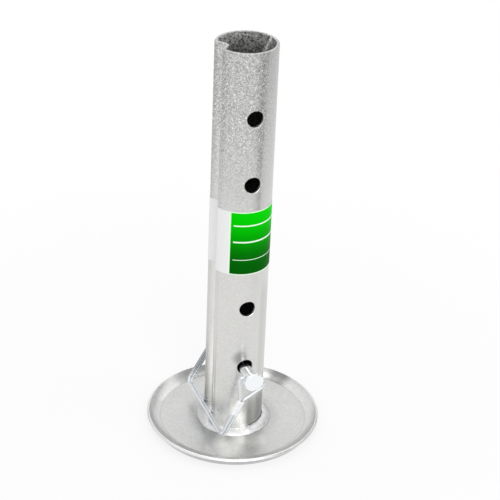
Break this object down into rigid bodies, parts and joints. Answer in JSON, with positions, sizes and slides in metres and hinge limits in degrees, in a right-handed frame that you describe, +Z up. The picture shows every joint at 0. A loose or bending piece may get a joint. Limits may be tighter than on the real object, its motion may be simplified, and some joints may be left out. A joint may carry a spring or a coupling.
{
  "type": "trailer jack drop leg",
  "caption": "Zinc-coated round drop leg for a trailer jack, with cross holes, a key groove, a dished foot plate and a lock pin held by a wire bail.",
  "frame": {"origin": "middle of the foot plate's underside, on the axis of the leg tube", "axes": "+Z up the leg; the lock pin lies along Y with its head towards -Y; the key groove is on the -X side"},
  "size_m": [0.1512, 0.1512, 0.3535],
  "materials": {
    "galvanised_tube": "hammered zinc coating, satin",
    "zinc_plate": "smooth zinc coating, satin",
    "weld_zinc": "rippled weld under zinc",
    "bright_zinc": "bright zinc plating",
    "label_film": "printed film, green panel on white"
  },
  "bodies": {
    "leg": {"leg_tube": "galvanised_tube", "foot_plate": "zinc_plate", "weld_bead": "weld_zinc", "label_film": "label_film"},
    "pin": {"lock_pin": "bright_zinc"},
    "bail": {"bail_wire": "bright_zinc", "wire_sleeve": "bright_zinc"}
  },
  "joints": [
    {"name": "pin_turn", "type": "hinge", "parent": "leg", "child": "pin", "pos_m": [0, 0, 0.0671], "axis": [0, 1, 0], "range_deg": [0, 121.5]},
    {"name": "bail_swing", "type": "hinge", "parent": "pin", "child": "bail", "pos_m": [0, -0.043, 0.0671], "axis": [-0.8861, 0, 0.4635], "range_deg": [0, 135]}
  ],
  "couplings": [
    {"joint": "bail_swing", "follows": "pin_turn", "ratio": 1.111}
  ]
}
